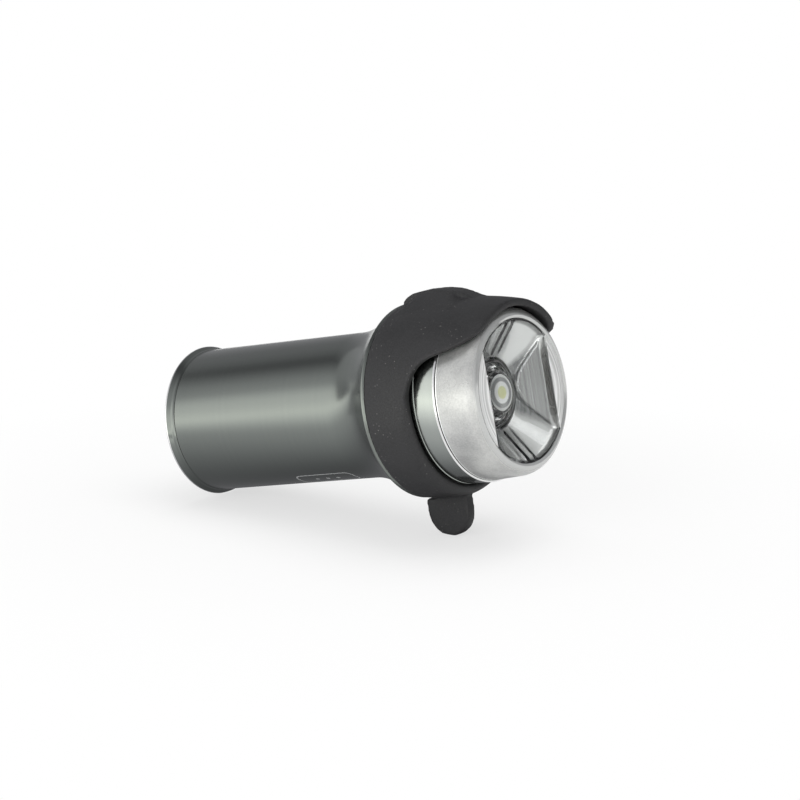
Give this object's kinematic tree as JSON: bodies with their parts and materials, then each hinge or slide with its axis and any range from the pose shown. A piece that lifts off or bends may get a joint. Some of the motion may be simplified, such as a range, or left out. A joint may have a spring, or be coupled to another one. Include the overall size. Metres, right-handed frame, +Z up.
{
  "type": "bicycle headlight",
  "caption": "Small round bike headlight: turned metal barrel with flared head, clear lens with collimator, silicone band with glare hood and pull tab, rear button and charging port.",
  "frame": {"origin": "centre of the bounding box on the surface that the light lies on", "axes": "X forward towards the lens, level; Z up; Y to the light's left; the light's own axis lies in XZ, nose-up, resting on the rear bead and on the pull tab"},
  "size_m": [0.0608, 0.0276, 0.0355],
  "materials": {
    "anodised": "fine turned, anodised gunmetal",
    "polished": "polished turned",
    "clear": "clear polycarbonate",
    "silicone": "matt black silicone",
    "seal": "matt",
    "black_plastic": "matt",
    "pale_plastic": "matt",
    "board": "solder mask",
    "white_board": "white solder mask on aluminium",
    "bare_aluminium": "machined",
    "steel": "plated",
    "cell_wrap": "shrink wrapped",
    "flex": "film",
    "ceramic": "matt",
    "phosphor": "matt",
    "wire_red": "insulated wire"
  },
  "bodies": {
    "light": {"barrel": "anodised", "rear_cap": "anodised", "cap_seal": "seal", "tact_switch": "black_plastic", "usb_socket": "steel", "usb_tongue": "black_plastic", "light_pipe": "clear", "status_led": "pale_plastic", "charge_board": "board", "board_parts": "black_plastic", "board_screws": "steel", "rear_insulator": "pale_plastic", "front_insulator": "pale_plastic", "battery_cell": "cell_wrap", "cell_tabs": "steel", "link_flex": "flex", "driver_board": "board", "driver_parts": "black_plastic", "led_carrier": "bare_aluminium", "led_board": "white_board", "led_board_screws": "steel", "led_wires": "wire_red", "led_emitter": "ceramic", "led_phosphor": "phosphor", "optic_holder": "black_plastic", "collimator": "clear", "head_ring": "polished", "lens_dome": "clear", "lens_seal": "seal"},
    "push_button": {"button": "silicone"},
    "plunger": {"switch_plunger": "pale_plastic"},
    "cover": {"port_cover": "silicone"},
    "band": {"mount_band": "silicone"}
  },
  "joints": [
    {"name": "button_press", "type": "slide", "parent": "light", "child": "push_button", "axis": [0.9792, 0, 0.2028], "range_m": [0, 0.0005], "stiffness_N_per_m": 800},
    {"name": "plunger_press", "type": "slide", "parent": "light", "child": "plunger", "axis": [0.9792, 0, 0.2028], "range_m": [0, 0.0005]},
    {"name": "cover_swing", "type": "hinge", "parent": "light", "child": "cover", "pos_m": [-0.0267, 0.0052, 0.00659], "axis": [0.2028, 0, -0.9792], "range_deg": [0, 110]},
    {"name": "band_turn", "type": "hinge", "parent": "light", "child": "band", "pos_m": [0.01114, 0, 0.01892], "axis": [0.9792, 0, 0.2028], "continuous": true}
  ],
  "couplings": [
    {"joint": "plunger_press", "follows": "button_press", "ratio": 1}
  ]
}
